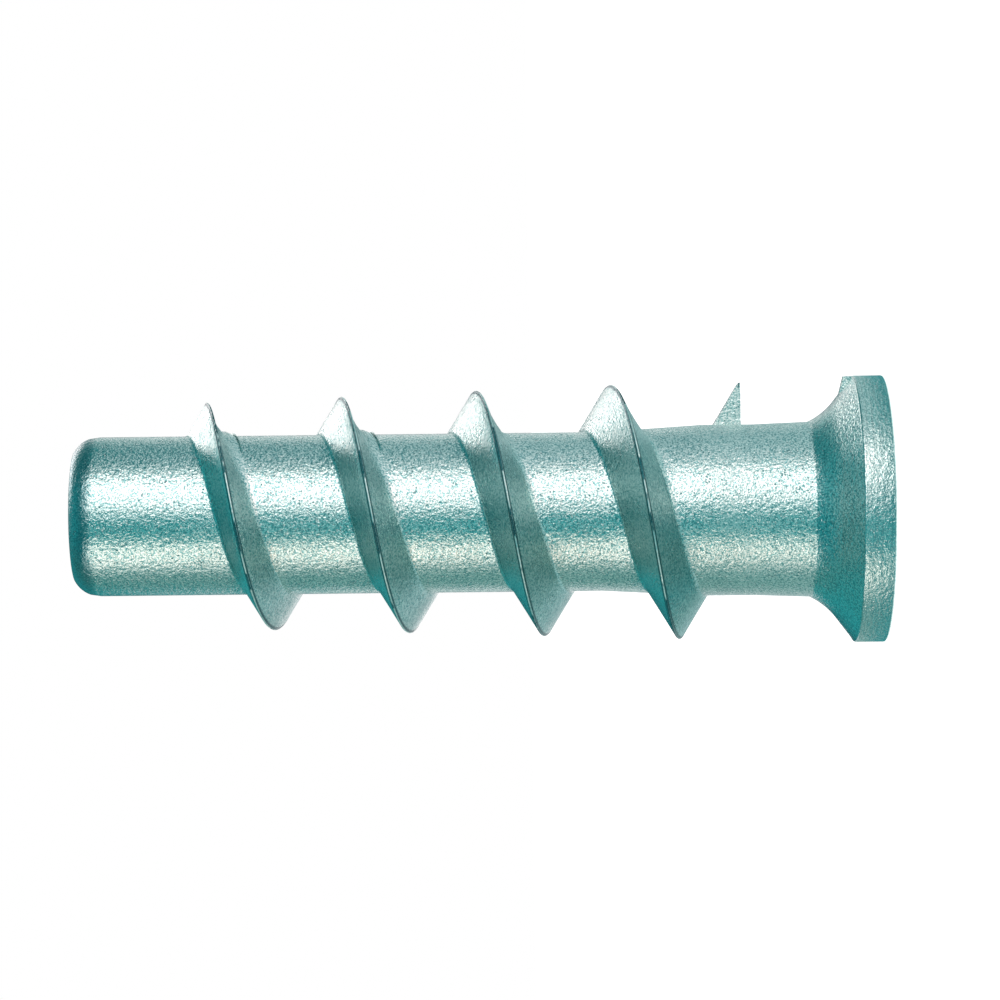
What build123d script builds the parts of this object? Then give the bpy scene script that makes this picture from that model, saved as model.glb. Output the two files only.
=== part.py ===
"""Screw-in anchor for aerated concrete: one die-cast zinc sleeve, M8 inside.

Row frame in millimetres. The origin is the centre of the head face, +Z runs
along the axis to the tip, and the anchor stands on its head. The thread ridge
ends beside the head on the +X side.
"""
import os
from math import cos, radians, sin, tan

from build123d import *

# Overall length, from the head face to the tip face
length = 60.0

# Head: a flat round flange with a conical back and a flared neck
head_diameter = 19.8
head_thickness = 2.35
head_edge_chamfer = 0.15
head_back_slope = 54.0
flare_radius = 3.8

# Neck under the head, the cone behind it and the shank
neck_diameter = 12.7
neck_length = 13.5
neck_cone_length = 7.5
shank_diameter = 11.8

# Nose: a slight taper, then a rounded edge around the tip face
nose_length = 1.9
nose_round_length = 1.1
nose_shoulder_drop = 0.16
nose_round_radius = 2.2
tip_face_diameter = 9.7

# Thread ridge: one start, right-handed, crest on a slight cone. It starts beside the
# neck, cut off square at a height, and is at full height up to a land before the tip.
pitch = 10.0
ridge_start = 10.2
ridge_cut = 10.35
tip_land = 9.8
ridge_crest_width = 0.34
ridge_flank_angle = 30.0
crest_diameter_head = 19.4
crest_diameter_tip = 16.75
ridge_foot_depth = 0.5
run_in_angle = 75.0
sections_per_turn = 12
run_in_sections = 6

# Hexagon socket for an 8 mm key, which an M8 screw passes through
socket_across_flats = 8.1
socket_depth = 9.0
socket_corner_round = 0.35
socket_mouth_chamfer = 0.4

# Bore of the M8 thread, from the socket floor through the tip
thread_bore_diameter = 6.8
bore_floor_chamfer = 0.6
bore_tip_chamfer = 0.75

head_radius = head_diameter / 2
neck_radius = neck_diameter / 2
shank_radius = shank_diameter / 2
tip_face_radius = tip_face_diameter / 2
bore_radius = thread_bore_diameter / 2
crest_radius_head = crest_diameter_head / 2
crest_radius_tip = crest_diameter_tip / 2
ridge_foot_radius = shank_radius - ridge_foot_depth
ridge_turns = (length - tip_land - ridge_start) / pitch


def turned_outline():
    """Half section of the sleeve without its ridge, as a closed line."""
    back_slope = radians(head_back_slope)
    arc_rise = flare_radius * (1 - cos(back_slope))
    back_rise = head_radius - neck_radius - arc_rise
    flare_low = (neck_radius + arc_rise, head_thickness + back_rise / tan(back_slope))
    flare_high = (neck_radius, flare_low[1] + flare_radius * sin(back_slope))
    nose_start = (shank_radius, length - nose_length)
    nose_shoulder = (shank_radius - nose_shoulder_drop, length - nose_round_length)
    tip_rim = (tip_face_radius, length)
    Polyline(
        (0, length),
        (0, 0),
        (head_radius - head_edge_chamfer, 0),
        (head_radius, head_edge_chamfer),
        (head_radius, head_thickness),
        flare_low,
    )
    RadiusArc(flare_low, flare_high, flare_radius)
    Polyline(
        flare_high,
        (neck_radius, neck_length),
        (shank_radius, neck_length + neck_cone_length),
        nose_start,
        nose_shoulder,
    )
    RadiusArc(nose_shoulder, tip_rim, -nose_round_radius)
    Line(tip_rim, (0, length))


def section_plane(angle):
    """Plane through the axis at an angle: local X points out, local Y up the axis."""
    turn = radians(angle)
    height = ridge_start + pitch * angle / 360
    return Plane(
        origin=(0, 0, height),
        x_dir=(cos(turn), sin(turn), 0),
        z_dir=(sin(turn), -cos(turn), 0),
    )


def ridge_stations():
    """Angle and crest radius of each ridge section, from the head to the tip."""
    steps = round(ridge_turns * sections_per_turn)
    for step in range(steps + 1):
        share = step / steps
        crest = crest_radius_head + (crest_radius_tip - crest_radius_head) * share
        yield 360 * ridge_turns * share, crest
    for step in range(1, run_in_sections + 1):
        share = step / run_in_sections
        crest = crest_radius_tip + (ridge_foot_radius - crest_radius_tip) * share
        yield 360 * ridge_turns + run_in_angle * share, crest


# The ridge: one triangular section, which moves inwards as its crest does
with BuildPart() as ridge:
    ridge_depth = crest_radius_head - ridge_foot_radius
    half_crest = ridge_crest_width / 2
    half_foot = half_crest + ridge_depth * tan(radians(ridge_flank_angle))
    for station_angle, crest_radius in ridge_stations():
        foot_radius = crest_radius - ridge_depth
        with BuildSketch(section_plane(station_angle)):
            Polygon(
                (foot_radius, -half_foot),
                (crest_radius, -half_crest),
                (crest_radius, half_crest),
                (foot_radius, half_foot),
                align=None,
            )
    loft()
    # The ridge is cut off square beside the neck, where the casting mould ends it
    split(bisect_by=Plane.XY.offset(ridge_cut), keep=Keep.TOP)

# The sleeve is one casting: turned body, ridge, socket and bore
with BuildPart() as anchor_body:
    with BuildSketch(Plane.XZ):
        with BuildLine():
            turned_outline()
        make_face()
    revolve(axis=Axis.Z)
    add(ridge.part)

    # Hexagon socket with two flats square to X, its corners and its mouth eased
    with BuildSketch(Plane.XY):
        RegularPolygon(socket_across_flats / 2, 6, major_radius=False, rotation=30)
        fillet(vertices(), socket_corner_round)
    extrude(amount=socket_depth, mode=Mode.SUBTRACT)
    head_face = faces().sort_by(Axis.Z)[0]
    chamfer(head_face.inner_wires()[0].edges(), socket_mouth_chamfer)

    # Bore from the socket floor through the tip, with a lead-in at each end
    with BuildSketch(Plane.XZ):
        Polygon(
            (0, socket_depth),
            (bore_radius + bore_floor_chamfer, socket_depth),
            (bore_radius, socket_depth + bore_floor_chamfer),
            (bore_radius, length - bore_tip_chamfer),
            (bore_radius + bore_tip_chamfer, length),
            (0, length),
            align=None,
        )
    revolve(axis=Axis.Z, mode=Mode.SUBTRACT)

anchor_body.part.label = "anchor_body"
os.makedirs("parts", exist_ok=True)
export_step(anchor_body.part, "parts/anchor_body.step")
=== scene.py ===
"""A die-cast screw-in anchor for aerated concrete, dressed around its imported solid.

Row frame in metres: the anchor stands on its head face at height 0 and its tip
points up. The camera lies on its side, so that the tip is at the picture's left.
"""

from math import atan2, cos, degrees, hypot, pi, radians, sin, sqrt, tan

import bmesh
import bpy
from bpy.props import FloatProperty, FloatVectorProperty, IntProperty, PointerProperty
from mathutils import Matrix, Vector, noise


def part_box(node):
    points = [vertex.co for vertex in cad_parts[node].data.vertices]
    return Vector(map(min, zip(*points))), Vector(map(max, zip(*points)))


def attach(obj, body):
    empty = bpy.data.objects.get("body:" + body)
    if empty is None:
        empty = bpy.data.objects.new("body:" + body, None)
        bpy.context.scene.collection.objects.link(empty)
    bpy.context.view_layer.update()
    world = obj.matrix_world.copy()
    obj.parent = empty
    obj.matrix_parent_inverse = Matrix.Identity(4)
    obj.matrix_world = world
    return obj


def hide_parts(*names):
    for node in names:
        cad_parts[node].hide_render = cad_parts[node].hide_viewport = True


bl_info = {
    "name": "Aerated Concrete Anchor",
    "version": (1, 0, 0),
    "blender": (4, 5, 0),
    "location": "View3D > Sidebar > Anchor",
    "description": "Models the zinc casting of a screw-in anchor, its finish and a small studio",
    "category": "Add Mesh",
}

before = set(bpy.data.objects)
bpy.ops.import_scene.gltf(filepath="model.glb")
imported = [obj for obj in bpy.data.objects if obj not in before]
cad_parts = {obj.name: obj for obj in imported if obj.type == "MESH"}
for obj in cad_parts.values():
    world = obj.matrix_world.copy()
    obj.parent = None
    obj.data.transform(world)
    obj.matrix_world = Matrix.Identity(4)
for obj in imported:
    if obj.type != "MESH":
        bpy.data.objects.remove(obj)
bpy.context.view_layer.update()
node_low, node_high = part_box("anchor_body")

MM = 0.001
TINY = 1e-7
LENGTH = node_high.z - node_low.z
HEAD_RADIUS = (node_high.y - node_low.y) / 2

# Points closer together than this are merged, after the parts are joined and after the cuts
JOIN_WELD = 0.006 * MM
CUT_WELD = 0.004 * MM

# Edges between faces that meet at a larger angle stay sharp
SMOOTH_ANGLE = radians(55)

# How the head-side flank's points move, from the crest down: the share of the relief by which
# each is set back, and the shares of the apron by which it is lifted and spread
SET_BACK = (0.8, 1.0, 0.8, 0.45, 0.0, 0.0, 0.0, 0.0)
LIFT = (0.0, 0.0, 0.8, 1.0, 1.0, 0.45, 0.0, 0.0)
SPREAD = (0.0, 0.0, -0.4, 0.2, 0.55, 1.1, 1.9, 2.2)


def size(label, text, value):
    """A length property in metres, given in millimetres."""
    return FloatProperty(
        name=label, description=text, default=value * MM, subtype="DISTANCE", unit="LENGTH", precision=5
    )


def angle_size(label, text, value):
    """An angle property in radians, given in degrees."""
    return FloatProperty(name=label, description=text, default=radians(value), subtype="ANGLE")


def tint(label, text, value):
    """A colour property."""
    return FloatVectorProperty(
        name=label, description=text, default=value, subtype="COLOR", size=3, min=0, max=1
    )


class AnchorSizes(bpy.types.PropertyGroup):
    """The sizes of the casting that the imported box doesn't give."""

    head_thickness: size("Head thickness", "Height of the flange's straight rim", 2.35)
    head_edge: size("Head edge", "Round on the rim's edge at the head face", 0.15)
    rim_edge: size("Rim edge", "Small round on the rim's other edge", 0.18)
    rim_ledge: size("Rim ledge", "How far the cone behind the head stays inside the rim", 0.22)
    flare_radius: size("Flare radius", "Concave round between the neck and the head's back", 5.2)
    flare_start: angle_size("Flare start", "Angle to the axis at which the flare leaves the neck", 24)
    head_slope: angle_size("Head slope", "Angle of the head's back to the axis", 52)
    neck_radius: size("Neck radius", "Radius beside the head", 6.35)
    neck_swell: size("Neck swell", "How much wider the neck is where the flare starts", 0.15)
    neck_length: size("Neck length", "Height at which the neck starts to narrow", 13.5)
    neck_cone: size("Neck cone", "Length of the cone from the neck to the shank", 7.5)
    shank_radius: size("Shank radius", "Radius between the ridge's turns", 5.9)
    nose_length: size("Nose length", "Length of the slight taper and the round at the tip", 1.9)
    nose_round: size("Nose round length", "Part of the nose that is round", 1.1)
    nose_drop: size("Nose drop", "How much the taper takes off the shank's radius", 0.12)
    nose_radius: size("Nose radius", "Radius of the round around the tip face", 2.0)
    tip_radius: size("Tip radius", "Radius of the flat tip face", 4.85)
    pitch: size("Pitch", "Height of one turn of the ridge", 10.0)
    ridge_start: size("Ridge start", "Height of the ridge's middle where it starts", 10.2)
    ridge_cut: size("Ridge cut", "Height at which the ridge's start is cut off", 10.42)
    ridge_lead: angle_size("Ridge lead", "Angle past +X at which the ridge starts", 11.25)
    ridge_face: size("Ridge face", "How far the ridge's flat end face lies behind the axis", 1.4)
    tip_land: size("Tip land", "Plain length between the full ridge and the tip", 9.8)
    crest_head: size("Crest radius at the head", "Radius of the crest beside the head", 9.745)
    crest_tip: size("Crest radius at the tip", "Radius of the crest where the run-in starts", 8.42)
    crest_width: size("Crest width", "Width of the blunt crest", 0.14)
    foot_fillet: size("Foot fillet", "Radius of the soft corner between ridge and shank", 0.42)
    crest_waver: size("Crest waver", "How far the cast crest strays from its cone", 0.03)
    run_in: angle_size("Run-in", "Angle over which the ridge rises at the tip end", 75)
    relief: size("Relief", "How far the mould sets the head-side flank back near the tip", 0.45)
    apron: size("Apron", "Height of the low apron at the foot of the last turns", 0.27)
    flank: angle_size("Flank angle", "Half of the angle between the ridge's flanks", 30)
    socket_flats: size("Socket across flats", "Width of the hexagon socket", 8.1)
    socket_depth: size("Socket depth", "Depth of the hexagon socket", 9.0)
    socket_corner: size("Socket corner", "Round in the socket's corners", 0.35)
    socket_mouth: size("Socket mouth", "Chamfer around the socket's mouth", 0.4)
    bore_radius: size("Bore radius", "Radius of the inner thread's crests", 3.4)
    thread_radius: size("Thread radius", "Radius of the inner thread's roots", 4.0)
    thread_pitch: size("Thread pitch", "Height of one turn of the inner thread", 1.25)
    bore_floor: size("Bore floor chamfer", "Lead-in at the socket's floor", 0.6)
    bore_tip: size("Bore tip chamfer", "Lead-in at the tip face", 0.75)
    lug_height: size("Lug height", "Height of the small lug on the head's back", 2.9)
    lug_width: size("Lug width", "Width of the small lug", 0.9)
    lug_inset: size("Lug inset", "How far the lug stays inside the rim", 0.05)
    lug_reach: size("Lug reach", "How far inside the rim the lug ends", 1.6)
    lug_slant: size("Lug slant", "How much the lug rises towards the neck", 0.4)
    segments: IntProperty(name="Segments", description="Facets around the axis", default=128, min=32)


def only(piece):
    """Selects one object and makes it active."""
    bpy.ops.object.select_all(action="DESELECT")
    piece.select_set(True)
    bpy.context.view_layer.objects.active = piece


def edit(piece):
    """Opens one object in edit mode with all of it selected."""
    only(piece)
    bpy.ops.object.mode_set(mode="EDIT")
    bpy.ops.mesh.select_all(action="SELECT")


def close_edit(outwards=True):
    """Leaves edit mode, with the faces pointing out of the solid."""
    bpy.ops.mesh.select_all(action="SELECT")
    if outwards:
        bpy.ops.mesh.normals_make_consistent(inside=False)
    bpy.ops.object.mode_set(mode="OBJECT")


def extrude(x=0.0, y=0.0, z=0.0):
    """Extrudes what is selected and moves it."""
    bpy.ops.mesh.extrude_region_move(TRANSFORM_OT_translate={"value": (x, y, z)})


def turn_on(angle):
    """Turns what is selected on around the axis. The operator counts angles the other way."""
    bpy.ops.transform.rotate(value=-angle, orient_axis="Z", center_override=(0, 0, 0))


def slide(out, angle, up=0.0):
    """Moves what is selected away from the axis, at an angle around it, and up."""
    bpy.ops.transform.translate(value=(out * cos(angle), out * sin(angle), up))


def arc(centre, radius, start, end, steps):
    """Points (radius, height) along an arc in the half section, angles in degrees."""
    points = []
    for step in range(steps + 1):
        angle = radians(start + (end - start) * step / steps)
        points.append((centre[0] + radius * cos(angle), centre[1] + radius * sin(angle)))
    return points


def arc_between(first, last, radius, steps):
    """Points along the outward bulging arc from one point of the half section to another."""
    across, up = last[0] - first[0], last[1] - first[1]
    span = hypot(across, up)
    reach = sqrt(radius * radius - span * span / 4)
    centre = (
        (first[0] + last[0]) / 2 - up / span * reach,
        (first[1] + last[1]) / 2 + across / span * reach,
    )
    start = degrees(atan2(first[1] - centre[1], first[0] - centre[0]))
    end = degrees(atan2(last[1] - centre[1], last[0] - centre[0]))
    return arc(centre, radius, start, end, steps)


def disc(name, radius, height, corners):
    """A flat filled disc or polygon square to the axis."""
    bpy.ops.object.select_all(action="DESELECT")
    bpy.ops.mesh.primitive_circle_add(
        vertices=corners, radius=radius, fill_type="NGON", location=(0, 0, height)
    )
    piece = bpy.context.active_object
    piece.name = name
    bpy.ops.object.transform_apply(location=True, rotation=True, scale=True)
    return piece


def turned(name, outline, corners):
    """A closed round solid: a disc extruded ring by ring along (radius, height) points."""
    piece = disc(name, *outline[0], corners)
    edit(piece)
    for (radius, height), (next_radius, next_height) in zip(outline, outline[1:]):
        extrude(z=next_height - height)
        grow = next_radius / radius
        bpy.ops.transform.resize(value=(grow, grow, 1), center_override=(0, 0, next_height))
    close_edit()
    return piece


def section(name, points, fill):
    """A line or filled outline of (radius, height) points in the plane through +X."""
    bpy.ops.object.select_all(action="DESELECT")
    bpy.ops.mesh.primitive_plane_add(size=MM)
    piece = bpy.context.active_object
    piece.name = name
    edit(piece)
    bpy.ops.mesh.merge(type="CENTER")
    radius, height = points[0]
    bpy.ops.transform.translate(value=(radius, 0, height))
    for next_radius, next_height in points[1:]:
        extrude(x=next_radius - radius, z=next_height - height)
        radius, height = next_radius, next_height
    if fill:
        bpy.ops.mesh.select_all(action="SELECT")
        bpy.ops.mesh.edge_face_add()
    bpy.ops.object.mode_set(mode="OBJECT")
    return piece


def trim(height, keep_above):
    """Cuts the solid in edit mode square to the axis and closes the cut."""
    bpy.ops.mesh.select_all(action="SELECT")
    bpy.ops.mesh.bisect(
        plane_co=(0, 0, height),
        plane_no=(0, 0, 1),
        use_fill=True,
        clear_inner=keep_above,
        clear_outer=not keep_above,
        threshold=TINY,
    )


def weld(piece, distance):
    """Merges points that lie closer together than a distance."""
    edit(piece)
    bpy.ops.mesh.remove_doubles(threshold=distance)
    bpy.ops.mesh.dissolve_degenerate(threshold=distance)
    close_edit(outwards=False)


def combine(piece, tool, operation):
    """Adds a solid to the piece or cuts it out of the piece, and removes it."""
    only(piece)
    joining = piece.modifiers.new("combine", "BOOLEAN")
    joining.operation = operation
    joining.solver = "MANIFOLD"
    joining.object = tool
    bpy.ops.object.modifier_apply(modifier=joining.name)
    bpy.data.objects.remove(tool)


def body_outline(sizes):
    """The sleeve's outside without its ridge, from the head face to the tip face."""
    head_edge = sizes.head_edge
    rim_edge = sizes.rim_edge
    neck = sizes.neck_radius + sizes.neck_swell
    slope = sizes.head_slope
    start = sizes.flare_start
    base = HEAD_RADIUS - sizes.rim_ledge
    rise = sizes.flare_radius * (cos(start) - cos(slope))
    back = (base - neck - rise) / tan(slope)
    flare_centre = (
        neck + sizes.flare_radius * cos(start),
        sizes.head_thickness + back + sizes.flare_radius * sin(slope),
    )
    rim_centre = (HEAD_RADIUS - rim_edge, sizes.head_thickness - rim_edge)
    shoulder = (sizes.shank_radius - sizes.nose_drop, LENGTH - sizes.nose_round)
    cone_end = sizes.neck_length + sizes.neck_cone
    nose = LENGTH - sizes.nose_length
    cone = [sizes.neck_length + sizes.neck_cone * step / 4 for step in range(-2, 5)]
    shank = [cone_end + (nose - cone_end) * step / 16 for step in range(1, 17)]
    return [
        (HEAD_RADIUS - head_edge, 0.0),
        *arc((HEAD_RADIUS - head_edge, head_edge), head_edge, -90, 0, 5)[1:],
        *arc(rim_centre, rim_edge, 0, 90, 4),
        *arc(flare_centre, sizes.flare_radius, 180 + degrees(slope), 180 + degrees(start), 10),
        *[(body_radius(sizes, height), height) for height in cone + shank],
        *arc_between(shoulder, (sizes.tip_radius, LENGTH), sizes.nose_radius, 8),
    ]


def body_radius(sizes, height):
    """Radius of the sleeve's outside at a height between the head and the nose."""
    share = (height - sizes.neck_length) / sizes.neck_cone
    share = min(max(share, 0.0), 1.0)
    return sizes.neck_radius + (sizes.shank_radius - sizes.neck_radius) * share


def flank_points(sizes, depth):
    """One side of the ridge's section as (depth below the crest, distance from its middle)."""
    lean = tan(sizes.flank)
    half = sizes.crest_width / 2
    ease = 0.04 * MM
    skin, root, toe = 0.03 * MM, 0.5 * MM, 0.12 * MM
    fillet = sizes.foot_fillet
    start = depth - fillet * (1 - sin(sizes.flank))
    wide = half + (start - ease) * lean
    points = [(0.0, half - 1.4 * ease), (ease, half)]
    for share in (0.33, 0.67):
        points.append((start * share, half + (start * share - ease) * lean))
    points.append((start, wide))
    for turn in (15, 30, 45):
        angle = sizes.flank + radians(turn)
        out = fillet * (cos(sizes.flank) - cos(angle))
        points.append((depth - fillet * (1 - sin(angle)), wide + out))
    # The last two points lie below the sleeve's surface, so that the two solids join cleanly
    last = wide + fillet * cos(sizes.flank) + toe
    return [*points, (depth + skin, last), (depth + root, last)]


def ridge_section(sizes, depth):
    """The ridge's section at its cut end: two flanks, soft feet and a blunt crest."""
    flank = flank_points(sizes, depth)
    crest, middle = sizes.crest_head, sizes.ridge_start
    below = [(crest - down, middle - out) for down, out in reversed(flank)]
    above = [(crest - down, middle + out) for down, out in flank]
    return [*below, (crest, middle), *above]


def pick(mesh, ring, members):
    """Selects some points of a ring and nothing else."""
    bpy.ops.mesh.select_all(action="DESELECT")
    for member in members:
        mesh.verts[ring[member]].select = True
    mesh.select_flush_mode()


def grown(mesh, ring):
    """The newest ring, in the order of the ring that it was extruded from."""
    points = [mesh.verts[index] for index in ring]
    return [max(edge.other_vert(point).index for edge in point.link_edges) for point in points]


def swell(turns, reach):
    """A smooth swell once a turn: 1 in its middle and 0 beyond its reach, in turns."""
    phase = (turns + 0.5) % 1 - 0.5
    return (1 + cos(pi * phase / reach)) / 2 if abs(phase) < reach else 0.0


def flank_moves(sizes, turns):
    """Moves of the head-side flank's points, from the crest down: outwards and sideways."""
    relief_growth = min(max((turns - 0.3) / 3.2, 0), 1) ** 0.6
    apron_growth = min(max((turns - 2.3) / 0.5, 0), 1)
    relief = sizes.relief * swell(turns + 0.06, 0.25) * relief_growth
    apron = sizes.apron * swell(turns + 0.03, 0.13) * apron_growth
    for back, up, aside in zip(SET_BACK, LIFT, SPREAD):
        yield apron * up, apron * aside - relief * back


def move_flank(mesh, ring, first, places, moved, angle):
    """Moves the flank's points, from the crest down, on from where they are to their places."""
    for index, ((out, aside), (out_now, aside_now)) in enumerate(zip(places, moved)):
        lift, shift = out - out_now, aside - aside_now
        if abs(lift) + abs(shift) > TINY:
            pick(mesh, ring, [first - index])
            slide(lift, angle, -shift)


def crest_radius(sizes, step, steps, run_steps):
    """Radius of the crest at a step: a slight cone, then the run-in, with the waver of a casting."""
    run_in = max(step - steps, 0) / run_steps
    run_in_end = sizes.shank_radius - 0.1 * MM
    crest = sizes.crest_head + (sizes.crest_tip - sizes.crest_head) * min(step / steps, 1)
    crest += (run_in_end - sizes.crest_tip) * run_in
    waver = noise.noise(Vector((step * 0.11, 0.0, 3.7))) * 0.6
    waver += noise.noise(Vector((step * 0.47, 8.2, 0.0))) * 0.4
    return crest + sizes.crest_waver * (waver - 1) * (1 - run_in)


def ridge(sizes):
    """The helical ridge: its section extruded a little further round at each step."""
    depth = sizes.crest_head - body_radius(sizes, sizes.ridge_start)
    outline = ridge_section(sizes, depth)
    piece = section("ridge", outline, fill=True)
    turn = 2 * pi / sizes.segments
    climb = sizes.pitch / sizes.segments
    lead = round(sizes.ridge_lead / turn)
    steps = round((LENGTH - sizes.tip_land - sizes.ridge_start) / climb)
    run_steps = round(sizes.run_in / turn)
    foot_share = 0.75
    thinnest = 0.02 * MM
    # The outline runs from the head-side foot over the crest's middle to the tip-side foot
    middle_member = len(outline) // 2
    first_moved = middle_member - 3
    sides = ((-1, range(middle_member)), (1, range(middle_member + 1, len(outline))))
    depths = {-1: depth, 1: depth}
    moved = [(0.0, 0.0)] * len(LIFT)
    here = sizes.crest_head
    ring = list(range(len(outline)))
    edit(piece)
    bpy.ops.transform.translate(value=(0, 0, climb * lead))
    turn_on(turn * lead)
    for step in range(lead, steps + run_steps + 1):
        angle = turn * step
        middle = sizes.ridge_start + climb * step
        crest = crest_radius(sizes, step, steps, run_steps)
        if step > lead:
            extrude(z=climb)
            turn_on(turn)
        slide(crest - here, angle)
        here = crest
        mesh = bmesh.from_edit_mesh(piece.data)
        mesh.verts.index_update()
        mesh.verts.ensure_lookup_table()
        if step > lead:
            ring = grown(mesh, ring)
        top = (crest * cos(angle), crest * sin(angle), middle)
        for way, members in sides:
            # Each side is scaled from the crest, so that its foot keeps meeting the sleeve
            foot = middle + way * foot_share * depths[way]
            wanted = max(crest - body_radius(sizes, foot), thinnest)
            grow = wanted / depths[way]
            depths[way] = wanted
            pick(mesh, ring, members)
            bpy.ops.transform.resize(value=(grow, grow, grow), center_override=top)
            if way < 0:
                full = min(wanted / (foot_share * depth), 1)
                moves = flank_moves(sizes, step / sizes.segments)
                places = [(out * full, aside * full) for out, aside in moves]
                moved = [(out * grow, aside * grow) for out, aside in moved]
                move_flank(mesh, ring, first_moved, places, moved, angle)
                moved = places
        pick(mesh, ring, range(len(outline)))
    # The end face is flat and square to Y, as the mould's parting plane leaves it
    pick(mesh, range(len(outline)), range(len(outline)))
    bpy.ops.transform.resize(value=(1, 0, 1), center_override=(0, sizes.ridge_face, 0))
    close_edit()
    edit(piece)
    trim(sizes.ridge_cut, keep_above=True)
    close_edit()
    return piece


def lug(sizes):
    """The small square lug that the mould leaves on the head's back, below the ridge's end."""
    outer = HEAD_RADIUS - sizes.lug_inset
    inner = HEAD_RADIUS - sizes.lug_reach
    sunk = 0.4 * MM
    low = sizes.head_thickness - sunk
    high = sizes.lug_height
    outline = [(outer, low), (outer, high), (inner, high + sizes.lug_slant), (inner, low)]
    piece = section("lug", outline, fill=True)
    edit(piece)
    bpy.ops.transform.translate(value=(0, -sizes.lug_width / 2, 0))
    extrude(y=sizes.lug_width)
    close_edit()
    return piece


def socket_cutter(sizes):
    """The hexagon socket with rounded corners and a chamfered mouth."""
    overshoot = 1.0 * MM
    flat = sizes.socket_flats / 2
    corner_radius = flat / cos(pi / 6)
    corner_cut = sizes.socket_corner * tan(pi / 6)
    piece = disc("socket", corner_radius, sizes.socket_depth, 6)
    edit(piece)
    bpy.ops.mesh.bevel(offset=corner_cut, offset_type="OFFSET", segments=6, affect="VERTICES")
    bpy.ops.mesh.select_all(action="SELECT")
    extrude(z=sizes.socket_mouth - sizes.socket_depth)
    extrude(z=-sizes.socket_mouth - overshoot)
    wider = 1 + (sizes.socket_mouth + overshoot) / flat
    bpy.ops.transform.resize(value=(wider, wider, 1), center_override=(0, 0, -overshoot))
    close_edit()
    return piece


def bore_cutter(sizes):
    """The plain bore with a lead-in at the socket's floor and one at the tip."""
    spare = 1.0 * MM
    floor_radius = sizes.bore_radius + sizes.bore_floor
    tip_radius = sizes.bore_radius + sizes.bore_tip
    outline = [
        (floor_radius, sizes.socket_depth - spare),
        (floor_radius, sizes.socket_depth),
        (sizes.bore_radius, sizes.socket_depth + sizes.bore_floor),
        (sizes.bore_radius, LENGTH - sizes.bore_tip),
        (tip_radius, LENGTH),
        (tip_radius + spare, LENGTH + spare),
    ]
    return turned("bore", outline, sizes.segments)


def thread_cutter(sizes):
    """The tap that cuts the inner thread: one pitch of its outline, wound up by Screw."""
    start = sizes.socket_depth - 2 * sizes.thread_pitch
    overlap, wear = 0.03 * MM, 0.02 * MM
    below, beyond = 0.3 * MM, 0.5 * MM
    touching = 0.001 * MM
    inner = sizes.bore_radius - overlap
    outer = sizes.thread_radius - wear
    crest_flat = 0.28 * sizes.thread_pitch
    root_flat = 0.144 * sizes.thread_pitch
    rise = (sizes.thread_pitch - crest_flat - root_flat) / 2
    outline = [
        (inner, start),
        (inner, start + crest_flat),
        (outer, start + crest_flat + rise),
        (outer, start + crest_flat + rise + root_flat),
        (inner, start + sizes.thread_pitch),
    ]
    piece = section("tap", outline, fill=False)
    winding = piece.modifiers.new("winding", "SCREW")
    winding.axis = "Z"
    winding.angle = 2 * pi
    winding.screw_offset = sizes.thread_pitch
    winding.iterations = round((LENGTH - start) / sizes.thread_pitch) + 2
    winding.steps = 64
    winding.render_steps = 64
    winding.use_merge_vertices = True
    winding.merge_threshold = touching
    only(piece)
    bpy.ops.object.modifier_apply(modifier=winding.name)
    edit(piece)
    bpy.ops.mesh.remove_doubles(threshold=touching)
    trim(sizes.socket_depth - below, keep_above=True)
    trim(LENGTH + beyond, keep_above=False)
    close_edit()
    return piece


def even_normals(piece):
    """Lets the large faces rule the shading, so that small rounds blend into them."""
    only(piece)
    bpy.ops.object.shade_smooth_by_angle(angle=SMOOTH_ANGLE)
    weighting = piece.modifiers.new("weighting", "WEIGHTED_NORMAL")
    weighting.keep_sharp = True
    bpy.ops.object.modifier_apply(modifier=weighting.name)


class ANCHOR_OT_casting(bpy.types.Operator):
    """Model the zinc casting with its ridge, socket and threaded bore"""

    bl_idname = "anchor.casting"
    bl_label = "Anchor Casting"

    def execute(self, context):
        sizes = context.scene.anchor_sizes
        casting = turned("anchor_casting", body_outline(sizes), sizes.segments)
        combine(casting, ridge(sizes), "UNION")
        combine(casting, lug(sizes), "UNION")
        weld(casting, JOIN_WELD)
        combine(casting, socket_cutter(sizes), "DIFFERENCE")
        combine(casting, bore_cutter(sizes), "DIFFERENCE")
        combine(casting, thread_cutter(sizes), "DIFFERENCE")
        weld(casting, CUT_WELD)
        even_normals(casting)
        casting.data.materials.clear()
        casting.data.materials.append(zinc_material(context.scene.anchor_finish, sizes))
        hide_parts("anchor_body")
        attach(casting, "root")
        return {"FINISHED"}


class AnchorFinish(bpy.types.PropertyGroup):
    """The passivated zinc surface."""

    zinc: tint("Zinc", "Bluish green tint of the passivated zinc", (0.15, 0.38, 0.385))
    # Pale metal of the grains. The same colour is the painted highlight on the rim, the tip-side flanks
    # and the crest line
    bright: tint("Bright grains", "Pale metal in the grains and along worn edges", (0.62, 0.75, 0.72))
    # Deep teal of the grains' pits and the rim's streaks. The same colour, also darkened further, is the
    # painted shade on the head-side flanks, the nose and beside the crest
    dark_grain_and_shade: tint("Dark grains", "Deep teal of the pits between the grains", (0.02, 0.15, 0.18))
    grain_size: size("Grain size", "Width of one grain of the cast skin", 0.14)
    grain_depth: size("Grain depth", "How far the cast skin rises and falls", 0.063)


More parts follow.
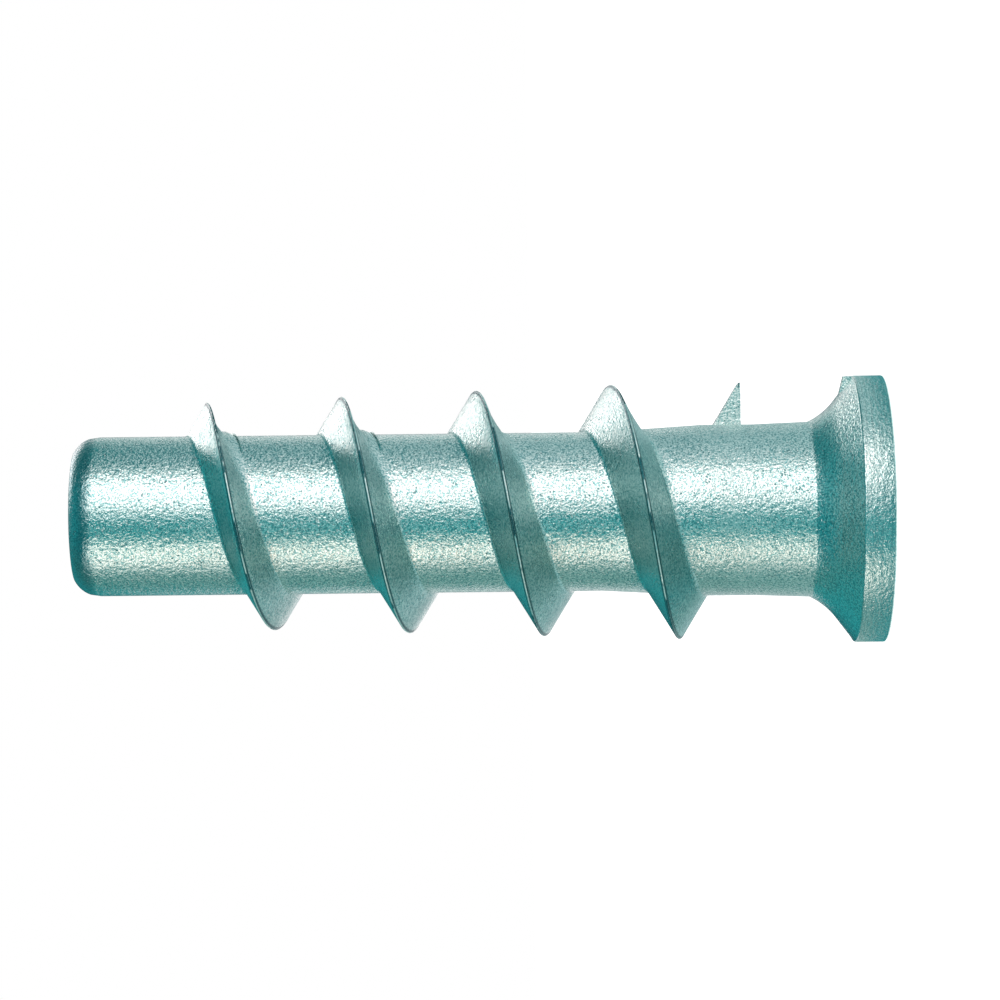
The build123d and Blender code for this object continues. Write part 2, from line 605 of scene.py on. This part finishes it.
class NodePlan:
    """Places and links nodes in a tree, row by row."""

    def __init__(self, tree):
        self.tree = tree
        self.count = 0

    def add(self, kind, inputs=(), **settings):
        """A node with its settings, and its inputs linked or set by name or index."""
        node = self.tree.nodes.new(kind)
        node.location = (200 * (self.count % 8), -260 * (self.count // 8))
        self.count += 1
        for key, value in settings.items():
            setattr(node, key, value)
        for key, value in dict(inputs).items():
            if isinstance(value, bpy.types.NodeSocket):
                self.tree.links.new(value, node.inputs[key])
            else:
                node.inputs[key].default_value = value
        return node

    def math(self, operation, *values):
        """The result of one math step on sockets or numbers."""
        return self.add("ShaderNodeMath", enumerate(values), operation=operation).outputs[0]

    def ramp(self, value, low, high, start=0.0, end=1.0):
        """A smooth rise from start to end as the value goes from low to high."""
        inputs = {0: value, 1: low, 2: high, 3: start, 4: end}
        node = self.add("ShaderNodeMapRange", inputs, interpolation_type="SMOOTHSTEP")
        return node.outputs[0]

    def mix(self, share, first, second):
        """A blend of two colours."""
        node = self.add("ShaderNodeMix", {0: share, 6: first, 7: second}, data_type="RGBA")
        return node.outputs[2]

    def send(self, results, out):
        """Links named values to the outputs of a group."""
        for label, value in results.items():
            self.tree.links.new(value, out[label])


def new_group(name, inputs, outputs):
    """An empty shader group with named float or vector sockets."""
    group = bpy.data.node_groups.new(name, "ShaderNodeTree")
    for label, kind, default in inputs:
        socket = group.interface.new_socket(label, in_out="INPUT", socket_type=kind)
        if default is not None:
            socket.default_value = default
    for label, kind in outputs:
        group.interface.new_socket(label, in_out="OUTPUT", socket_type=kind)
    plan = NodePlan(group)
    return group, plan, plan.add("NodeGroupInput").outputs, plan.add("NodeGroupOutput").inputs


def grain_group():
    """Cast grain: a fine speckle, the height of the skin, a few sharp pits and broad clouds."""
    group, plan, given, out = new_group(
        "Cast grain",
        [("Vector", "NodeSocketVector", None), ("Grain", "NodeSocketFloat", 0.14 * MM)],
        [(label, "NodeSocketFloat") for label in ("Speckle", "Height", "Pits", "Blobs", "Cloud")],
    )
    scale = plan.math("DIVIDE", 1.0, given["Grain"])

    def noise_of(share, detail, roughness):
        """Noise whose grains are as wide as the grain size divided by the share."""
        inputs = {
            "Vector": given["Vector"],
            "Scale": plan.math("MULTIPLY", scale, share),
            "Detail": detail,
            "Roughness": roughness,
        }
        return plan.add("ShaderNodeTexNoise", inputs).outputs[0]

    fine = noise_of(1.0, 2.0, 0.7)
    blobs = noise_of(0.42, 2.0, 0.6)
    patches = noise_of(0.16, 1.0, 0.5)
    cloud = noise_of(0.05, 3.0, 0.5)
    cell_inputs = {"Vector": given["Vector"], "Scale": plan.math("MULTIPLY", scale, 0.55)}
    cell = plan.add("ShaderNodeTexVoronoi", cell_inputs).outputs["Distance"]
    pit = plan.math("MULTIPLY", plan.ramp(cell, 0.10, 0.34, 1.0, 0.0), plan.ramp(patches, 0.5, 0.6))
    skin = plan.math("ADD", blobs, plan.math("MULTIPLY", fine, 0.45))
    height = plan.math("SUBTRACT", skin, plan.math("MULTIPLY", pit, 0.35))
    results = {
        "Speckle": plan.ramp(fine, 0.36, 0.58),
        "Height": height,
        "Pits": pit,
        "Blobs": plan.ramp(blobs, 0.42, 0.56),
        "Cloud": plan.ramp(cloud, 0.3, 0.7),
    }
    plan.send(results, out)
    return group


def place_group(sizes):
    """Where a point lies: its place on the ridge, the rim or the nose."""
    labels = ("Beside", "Flank", "Tip side", "Crest", "Rim", "Nose")
    group, plan, given, out = new_group(
        "Ridge place",
        [("Vector", "NodeSocketVector", None)],
        [(label, "NodeSocketFloat") for label in labels],
    )
    parts = plan.add("ShaderNodeSeparateXYZ", {0: given["Vector"]}).outputs
    height = parts["Z"]
    across = plan.add("ShaderNodeVectorMath", {0: given["Vector"], 1: (1, 1, 0)}, operation="MULTIPLY")
    reach = plan.add("ShaderNodeVectorMath", {0: across.outputs[0]}, operation="LENGTH")
    radius = reach.outputs["Value"]
    # The phase is 0.5 on the crest's middle line, less on the head's side and more on the tip's
    turn = plan.math("DIVIDE", plan.math("ARCTAN2", parts["Y"], parts["X"]), 2 * pi)
    climb = plan.math("DIVIDE", plan.math("SUBTRACT", height, sizes.ridge_start), sizes.pitch)
    phase = plan.math("FRACT", plan.math("ADD", plan.math("SUBTRACT", climb, turn), 0.5))
    off = plan.math("ABSOLUTE", plan.math("SUBTRACT", phase, 0.5))
    outside = plan.ramp(radius, sizes.neck_radius - 0.2 * MM, sizes.neck_radius + 0.3 * MM)
    above = plan.ramp(height, sizes.ridge_start - 0.8 * MM, sizes.ridge_start - 0.2 * MM)
    flank = plan.math("MULTIPLY", outside, above)
    last = LENGTH - sizes.tip_land
    cone = {0: height, 1: sizes.ridge_start, 2: last, 3: sizes.crest_head, 4: sizes.crest_tip}
    depth = plan.math("SUBTRACT", plan.add("ShaderNodeMapRange", cone).outputs[0], radius)
    outermost = plan.ramp(radius, HEAD_RADIUS - 0.12 * MM, HEAD_RADIUS - 0.03 * MM)
    rim_top = sizes.head_thickness
    beside_face = plan.ramp(height, rim_top + 0.25 * MM, rim_top + 0.05 * MM)
    nose_start, nose_full = LENGTH - sizes.nose_length, LENGTH - sizes.nose_round - 0.1 * MM
    results = {
        "Beside": plan.math("MULTIPLY", off, sizes.pitch),
        "Flank": flank,
        "Tip side": plan.ramp(phase, 0.49, 0.51),
        "Crest": plan.math("MULTIPLY", flank, plan.ramp(depth, 0.7 * MM, 0.4 * MM)),
        "Rim": plan.math("MULTIPLY", outermost, beside_face),
        "Nose": plan.ramp(height, nose_start, nose_full),
    }
    plan.send(results, out)
    return group


# How often the rim's streaks change in a metre, along X, Y and Z: they run around the rim
STREAK_SCALE = (250, 250, 11000)


def rim_streaks_and_highlight(plan, base, position, place, dark_grain_and_shade, bright):
    """Dark streaks along the head's rim, and a painted highlight that makes the rim paler than the rest.
    """
    stretched = plan.add("ShaderNodeVectorMath", {0: position, 1: STREAK_SCALE}, operation="MULTIPLY")
    inputs = {"Vector": stretched.outputs[0], "Scale": 1.0, "Detail": 1.0}
    streaks = plan.ramp(plan.add("ShaderNodeTexNoise", inputs).outputs[0], 0.42, 0.56)
    base = plan.mix(plan.math("MULTIPLY", streaks, plan.math("MULTIPLY", place["Rim"], 0.3)), base, dark_grain_and_shade)
    # Painted highlight: the rim is lifted a little towards the pale colour
    return plan.mix(plan.math("MULTIPLY", place["Rim"], 0.35), base, bright)


def flank_highlight_and_shade(plan, base, grain, place, dark_grain_and_shade, bright):
    """Painted highlight on the tip-side flanks, painted shade in blobs on the head-side flanks, and
    painted shade on the nose.
    """
    tip_flank = plan.math("MULTIPLY", place["Flank"], place["Tip side"])
    head_flank = plan.math("SUBTRACT", place["Flank"], tip_flank)
    # Painted shade: the head-side flanks darkened in blobs, and the nose darkened
    head_flank_shade = plan.math("MULTIPLY", head_flank, plan.ramp(grain["Blobs"], 0.0, 1.0, 0.2, 0.0))
    dull = plan.math("MAXIMUM", head_flank_shade, plan.math("MULTIPLY", place["Nose"], 0.55))
    # Painted highlight: the tip-side flanks lifted a little towards the pale colour
    base = plan.mix(plan.math("MULTIPLY", tip_flank, 0.15), base, bright)
    return plan.mix(dull, base, dark_grain_and_shade)


def crest_highlight_and_shade(plan, base, grain, place, dark_grain_and_shade, bright):
    """A thin painted highlight along the crest, broken in patches by painted shade, between two lines of
    painted shade.
    """
    shade = (*[0.6 * channel for channel in dark_grain_and_shade[:3]], 1)
    beside, crest = place["Beside"], place["Crest"]
    inner, outer = plan.ramp(beside, 0.05 * MM, 0.08 * MM), plan.ramp(beside, 0.2 * MM, 0.12 * MM)
    # Painted shade: a dark line on each side of the crest
    shade_lines = plan.math("MULTIPLY", plan.math("MULTIPLY", inner, outer), plan.math("MULTIPLY", crest, 0.9))
    # Painted highlight along the crest's middle, with patches of painted shade
    crest_highlight = plan.math("MULTIPLY", plan.ramp(beside, 0.06 * MM, 0.03 * MM), crest)
    patches = plan.ramp(grain["Cloud"], 0.35, 0.55)
    base = plan.mix(shade_lines, base, shade)
    return plan.mix(crest_highlight, base, plan.mix(patches, shade, bright))


def zinc_material(finish, sizes):
    """Passivated die-cast zinc: a fine grain and the rim's streaks, under the painted highlights and
    painted shade of the rim, the flanks and the crest.
    """
    material = bpy.data.materials.new("passivated_zinc")
    material.use_nodes = True
    tree = material.node_tree
    tree.nodes.clear()
    plan = NodePlan(tree)
    position = plan.add("ShaderNodeTexCoord").outputs["Object"]
    grain_inputs = {"Vector": position, "Grain": finish.grain_size}
    grain = plan.add("ShaderNodeGroup", grain_inputs, node_tree=grain_group()).outputs
    place = plan.add("ShaderNodeGroup", {"Vector": position}, node_tree=place_group(sizes)).outputs
    dark_grain_and_shade, zinc, bright = ((*colour, 1) for colour in (finish.dark_grain_and_shade, finish.zinc, finish.bright))
    base = plan.mix(grain["Speckle"], zinc, bright)
    base = plan.mix(plan.math("MULTIPLY", grain["Pits"], 0.6), base, dark_grain_and_shade)
    base = rim_streaks_and_highlight(plan, base, position, place, dark_grain_and_shade, bright)
    base = flank_highlight_and_shade(plan, base, grain, place, dark_grain_and_shade, bright)
    base = crest_highlight_and_shade(plan, base, grain, place, dark_grain_and_shade, bright)
    clouds = plan.ramp(grain["Cloud"], 0.0, 1.0, 0.20, 0.26)
    roughness = plan.math("ADD", clouds, plan.math("MULTIPLY", place["Flank"], 0.06))
    skin = {"Strength": 1.0, "Distance": finish.grain_depth, "Height": grain["Height"]}
    bump = plan.add("ShaderNodeBump", skin)
    shader = plan.add(
        "ShaderNodeBsdfPrincipled",
        {"Base Color": base, "Metallic": 1.0, "Roughness": roughness, "Normal": bump.outputs[0]},
    )
    plan.add("ShaderNodeOutputMaterial", {"Surface": shader.outputs[0]})
    return material


# The view of the photograph: distance and centre in metres, the lens in millimetres
CAMERA_DISTANCE = 0.274
CAMERA_LENS = 132.75
PICTURE_CENTRE_HEIGHT = 0.02846
PICTURE_CENTRE_SIDE = 0.00093
PICTURE_TILT = radians(0.62)


def add_camera():
    """The camera in front of the anchor, lying on its side with the tip at the left."""
    bpy.ops.object.select_all(action="DESELECT")
    bpy.ops.object.camera_add()
    camera = bpy.context.active_object
    camera.name = "camera"
    camera.data.lens = CAMERA_LENS
    camera.data.sensor_width = 36.0
    camera.data.clip_start = 0.01
    camera.data.clip_end = 20.0
    down, side = Vector((0, 0, -1)), Vector((1, 0, 0))
    right = down * cos(PICTURE_TILT) - side * sin(PICTURE_TILT)
    up = down * sin(PICTURE_TILT) + side * cos(PICTURE_TILT)
    back = right.cross(up)
    place = Vector((PICTURE_CENTRE_SIDE, -CAMERA_DISTANCE, PICTURE_CENTRE_HEIGHT))
    camera.matrix_world = Matrix.Translation(place) @ Matrix((right, up, back)).transposed().to_4x4()
    bpy.context.scene.camera = camera


STUDIO_RADIUS = 0.8

# Name, azimuth and elevation, width and height in degrees, brightness and colour
SOFTBOXES = (
    ("key", 43.5, -4, 31, 68, 2.15, (1.0, 0.76, 0.75)),
    ("key_side", 17, -4, 22, 68, 1.25, (1.0, 0.82, 0.82)),
    ("fill", -56.5, -4, 27, 68, 1.35, (1.0, 0.75, 0.65)),
    ("rim", 162.5, 39, 13, 40, 2.7, (1.0, 0.75, 0.75)),
)

# Name, azimuth and elevation, width and height in degrees, and colour
CARDS = (
    ("card_key_high", 30, 50, 58, 40, (0.07, 0.40, 0.43)),
    ("card_fill_high", -65, 50, 36, 40, (0.04, 0.33, 0.36)),
    ("card_front", -18, 0, 50, 60, (0.07, 0.43, 0.45)),
    ("card_front_high", -24, 50, 44, 42, (0.02, 0.29, 0.32)),
    ("card_near", 79, 0, 42, 9, (0.85, 0.92, 0.95)),
    ("card_upper", 117, 0, 38, 9, (0.50, 0.66, 0.68)),
    ("card_upper_high", 97, 38, 78, 66, (0.03, 0.26, 0.28)),
    ("card_gap", 146, 38, 22, 60, (0.35, 0.55, 0.55)),
    ("card_lower", -105, 0, 72, 9, (0.28, 0.47, 0.44)),
    ("card_lower_high", -113, 38, 56, 66, (0.08, 0.32, 0.31)),
    ("card_back", -155, 30, 50, 50, (0.04, 0.39, 0.41)),
    ("card_top", 0, 90, 62, 62, (0.04, 0.47, 0.50)),
    ("card_edge", 181.5, 4, 28, 30, (0.01, 0.08, 0.10)),
)


def around(azimuth, elevation):
    """A point on the studio's sphere, in degrees. Azimuth 0 is the camera's side, 90 is +X."""
    turn, rise = radians(azimuth), radians(elevation)
    away = Vector((sin(turn) * cos(rise), -cos(turn) * cos(rise), sin(rise)))
    return away * STUDIO_RADIUS + Vector((0, 0, LENGTH / 2))


def face_anchor(item, axis):
    """Turns a lamp or a card towards the anchor."""
    aim = Vector((0, 0, LENGTH / 2)) - item.location
    item.rotation_euler = aim.to_track_quat(axis, "Y").to_euler()


def spans(wide, tall):
    """Width and height of a flat sheet that covers two angles, seen from the anchor."""
    return [2 * STUDIO_RADIUS * tan(radians(angle / 2)) for angle in (wide, tall)]


def add_softbox(name, azimuth, elevation, wide, tall, level, colour):
    """An area lamp that faces the anchor and looks as bright as its level."""
    bpy.ops.object.select_all(action="DESELECT")
    bpy.ops.object.light_add(type="AREA", location=around(azimuth, elevation))
    lamp = bpy.context.active_object
    lamp.name = name
    lamp.data.shape = "RECTANGLE"
    lamp.data.size, lamp.data.size_y = spans(wide, tall)
    lamp.data.energy = level * pi * lamp.data.size * lamp.data.size_y
    lamp.data.color = colour
    lamp.visible_camera = False
    face_anchor(lamp, "-Z")


def stage_sheet(sheet):
    """Hides a sheet from all but mirror rays and gives it an empty material."""
    sheet.visible_camera = False
    sheet.visible_shadow = False
    sheet.visible_diffuse = False
    material = bpy.data.materials.new(sheet.name)
    material.use_nodes = True
    material.node_tree.nodes.clear()
    sheet.data.materials.append(material)
    return NodePlan(material.node_tree)


def add_card(name, azimuth, elevation, wide, tall, colour):
    """A softly glowing sheet that the metal mirrors. The camera doesn't see it."""
    bpy.ops.object.select_all(action="DESELECT")
    bpy.ops.mesh.primitive_plane_add(size=1, location=around(azimuth, elevation))
    card = bpy.context.active_object
    card.name = name
    card.scale = (*spans(wide, tall), 1)
    face_anchor(card, "Z")
    plan = stage_sheet(card)
    shader = plan.add("ShaderNodeEmission", {"Color": (*colour, 1), "Strength": 1.0})
    plan.add("ShaderNodeOutputMaterial", {"Surface": shader.outputs[0]})


# What the metal mirrors of the table, far from the head and near it: an azimuth in degrees,
# then the colour from there to the next one
FAR_SECTORS = (
    (-180, (0.62, 0.70, 0.71)),
    (-142, (0.28, 0.47, 0.44)),
    (-70, (1.35, 1.00, 0.87)),
    (-43, (0.07, 0.43, 0.45)),
    (6, (1.35, 1.10, 1.10)),
    (28, (2.15, 1.63, 1.63)),
    (59, (0.85, 0.92, 0.95)),
    (98, (0.50, 0.66, 0.68)),
    (138, (0.55, 0.70, 0.70)),
    (170, (0.02, 0.12, 0.14)),
)
NEAR_SECTORS = (
    (-180, (0.25, 0.43, 0.40)),
    (-70, (0.95, 0.92, 0.80)),
    (-43, (0.07, 0.43, 0.45)),
    (6, (1.10, 1.05, 1.05)),
    (22, (2.60, 2.10, 2.05)),
    (62, (0.85, 0.98, 0.98)),
    (138, (0.40, 0.60, 0.60)),
)
UNDER_COLOUR = (0.08, 0.38, 0.40)
RING_COLOUR = (0.46, 0.70, 0.71)
BEHIND_COLOUR = (1.60, 1.45, 1.45)
SECTOR_PEAK = 2.7
TABLE_RADIUS = 0.9
TABLE_HEIGHT = 0.1 * MM


def table_tint(colour):
    """A colour as the table's sheet carries it: a share of the brightest level."""
    return (*[channel / SECTOR_PEAK for channel in colour], 1)


def sector_ramp(plan, share, sectors):
    """The colour of the sector that an azimuth share from 0 to 1 falls in."""
    ramp = plan.add("ShaderNodeValToRGB", {0: share})
    ramp.color_ramp.interpolation = "CONSTANT"
    stops = ramp.color_ramp.elements
    stops.remove(stops[1])
    for azimuth, colour in sectors:
        stop = stops[0] if azimuth == -180 else stops.new(azimuth / 360 + 0.5)
        stop.color = table_tint(colour)
    return ramp.outputs[0]


def add_table():
    """A round sheet on the floor that carries the lamps and cards on below the horizon."""
    bpy.ops.object.select_all(action="DESELECT")
    bpy.ops.mesh.primitive_circle_add(
        vertices=64, radius=TABLE_RADIUS, fill_type="NGON", location=(0, 0, TABLE_HEIGHT)
    )
    table = bpy.context.active_object
    table.name = "table_sheet"
    plan = stage_sheet(table)
    place = plan.add("ShaderNodeTexCoord").outputs["Object"]
    parts = plan.add("ShaderNodeSeparateXYZ", {0: place}).outputs
    distance = plan.add("ShaderNodeVectorMath", {0: place}, operation="LENGTH").outputs["Value"]
    turn = plan.math("ARCTAN2", parts["X"], plan.math("MULTIPLY", parts["Y"], -1.0))
    # Close to the head a mirrored ray starts off the axis, so its sector lies further round
    closeness = plan.math("ADD", plan.math("DIVIDE", 6.6 * MM, distance), 1.0)
    far_share, near_share = (
        plan.math("ADD", plan.math("DIVIDE", azimuth, 2 * pi), 0.5)
        for azimuth in (turn, plan.math("MULTIPLY", turn, closeness))
    )
    near, far = sector_ramp(plan, near_share, NEAR_SECTORS), sector_ramp(plan, far_share, FAR_SECTORS)
    far_behind = plan.ramp(distance, 125 * MM, 145 * MM)
    behind = plan.math("MULTIPLY", plan.ramp(far_share, 0.042, 0.034), far_behind)
    # From the head outwards: under the rim, near, a ring, far, and a pale patch behind
    colour = plan.mix(plan.ramp(distance, 15 * MM, 19 * MM), table_tint(UNDER_COLOUR), near)
    colour = plan.mix(plan.ramp(distance, 25 * MM, 29 * MM), colour, table_tint(RING_COLOUR))
    colour = plan.mix(plan.ramp(distance, 46 * MM, 56 * MM), colour, far)
    colour = plan.mix(behind, colour, table_tint(BEHIND_COLOUR))
    shader = plan.add("ShaderNodeEmission", {"Color": colour, "Strength": SECTOR_PEAK})
    plan.add("ShaderNodeOutputMaterial", {"Surface": shader.outputs[0]})


def seen_white(plan):
    """1 where a ray comes from the camera or off metal or glass, else 0."""
    path = plan.add("ShaderNodeLightPath").outputs
    metal = plan.math("MAXIMUM", path["Is Glossy Ray"], path["Is Transmission Ray"])
    return plan.math("MAXIMUM", path["Is Camera Ray"], metal)


FLOOR_SIZE = 6.0
FLOOR_PAINT = (0.85, 0.85, 0.85, 1)
FLOOR_GLOW = 0.8


def add_floor():
    """A wide pale floor under the head, with a soft shadow."""
    bpy.ops.object.select_all(action="DESELECT")
    bpy.ops.mesh.primitive_plane_add(size=FLOOR_SIZE, location=(0, 0, 0))
    floor = bpy.context.active_object
    floor.name = "floor"
    material = bpy.data.materials.new("floor_white")
    material.use_nodes = True
    tree = material.node_tree
    tree.nodes.clear()
    plan = NodePlan(tree)
    dull = plan.add("ShaderNodeBsdfDiffuse", {"Color": FLOOR_PAINT})
    strength = plan.math("MULTIPLY", seen_white(plan), FLOOR_GLOW)
    glow = plan.add("ShaderNodeEmission", {"Color": (1, 1, 1, 1), "Strength": strength})
    both = plan.add("ShaderNodeAddShader", {0: dull.outputs[0], 1: glow.outputs[0]})
    plan.add("ShaderNodeOutputMaterial", {"Surface": both.outputs[0]})
    floor.data.materials.append(material)


def light_world():
    """White where the camera or the metal looks at it, and a plain fill elsewhere."""
    world = bpy.data.worlds.new("studio")
    bpy.context.scene.world = world
    world.use_nodes = True
    tree = world.node_tree
    tree.nodes.clear()
    plan = NodePlan(tree)
    strength = plan.ramp(seen_white(plan), 0.0, 1.0, 0.5, 1.0)
    sky = plan.add("ShaderNodeBackground", {"Color": (1, 1, 1, 1), "Strength": strength})
    plan.add("ShaderNodeOutputWorld", {"Surface": sky.outputs[0]})


class ANCHOR_OT_studio(bpy.types.Operator):
    """Set up the floor, the lamps, the cards and the camera"""

    bl_idname = "anchor.studio"
    bl_label = "Anchor Studio"

    def execute(self, context):
        light_world()
        add_floor()
        for softbox in SOFTBOXES:
            add_softbox(*softbox)
        for card in CARDS:
            add_card(*card)
        add_table()
        add_camera()
        context.scene.view_settings.view_transform = "Standard"
        return {"FINISHED"}


class ANCHOR_PT_panel(bpy.types.Panel):
    """Lists the anchor's sizes, its finish and the steps that build it"""

    bl_idname = "ANCHOR_PT_panel"
    bl_label = "Concrete Anchor"
    bl_space_type = "VIEW_3D"
    bl_region_type = "UI"
    bl_category = "Anchor"

    def draw(self, context):
        layout = self.layout
        for group in (context.scene.anchor_sizes, context.scene.anchor_finish):
            box = layout.box()
            for name in group.__annotations__:
                box.prop(group, name)
        layout.operator(ANCHOR_OT_casting.bl_idname)
        layout.operator(ANCHOR_OT_studio.bl_idname)


CLASSES = (AnchorSizes, AnchorFinish, ANCHOR_OT_casting, ANCHOR_OT_studio, ANCHOR_PT_panel)


def register():
    for item in CLASSES:
        bpy.utils.register_class(item)
    bpy.types.Scene.anchor_sizes = PointerProperty(type=AnchorSizes)
    bpy.types.Scene.anchor_finish = PointerProperty(type=AnchorFinish)


def unregister():
    del bpy.types.Scene.anchor_finish
    del bpy.types.Scene.anchor_sizes
    for item in reversed(CLASSES):
        bpy.utils.unregister_class(item)


def main():
    register()
    bpy.ops.anchor.casting()
    bpy.ops.anchor.studio()


if __name__ == "__main__":
    main()
